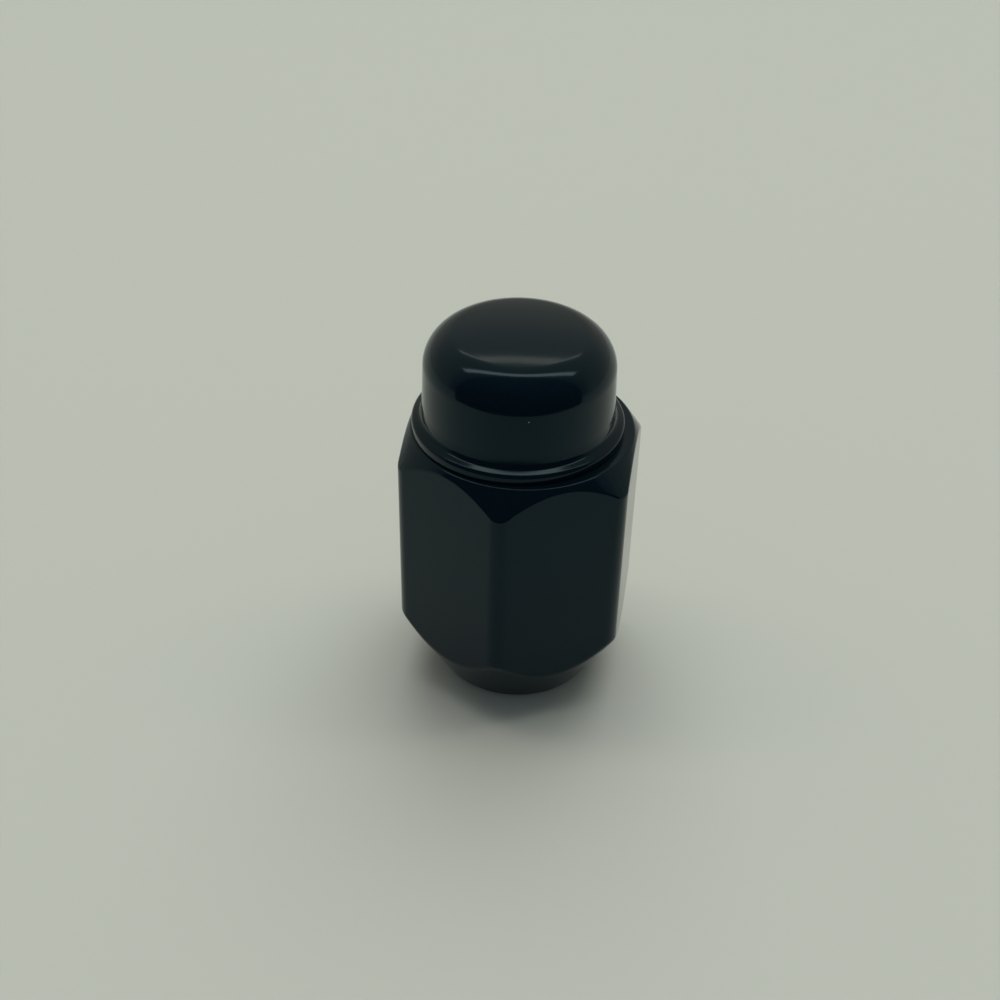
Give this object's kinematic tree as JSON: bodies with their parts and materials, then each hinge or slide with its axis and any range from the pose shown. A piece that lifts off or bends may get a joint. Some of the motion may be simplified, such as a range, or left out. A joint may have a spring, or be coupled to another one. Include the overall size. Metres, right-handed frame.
{
  "type": "lug nut",
  "caption": "Closed-end hexagon wheel nut with a conical seat, a tapped bore and a flanged, domed cap, in gloss black.",
  "frame": {"origin": "centre of the flat ring at the seat end, on the thread's axis", "axes": "+Z along the thread's axis from the seat end to the cap; two flats of the hexagon face +X and -X"},
  "size_m": [0.019, 0.0216, 0.0336],
  "materials": {
    "black_coating": "gloss black coating on steel"
  },
  "bodies": {
    "root": {"nut_body": "black_coating", "cap": "black_coating"}
  },
  "joints": []
}
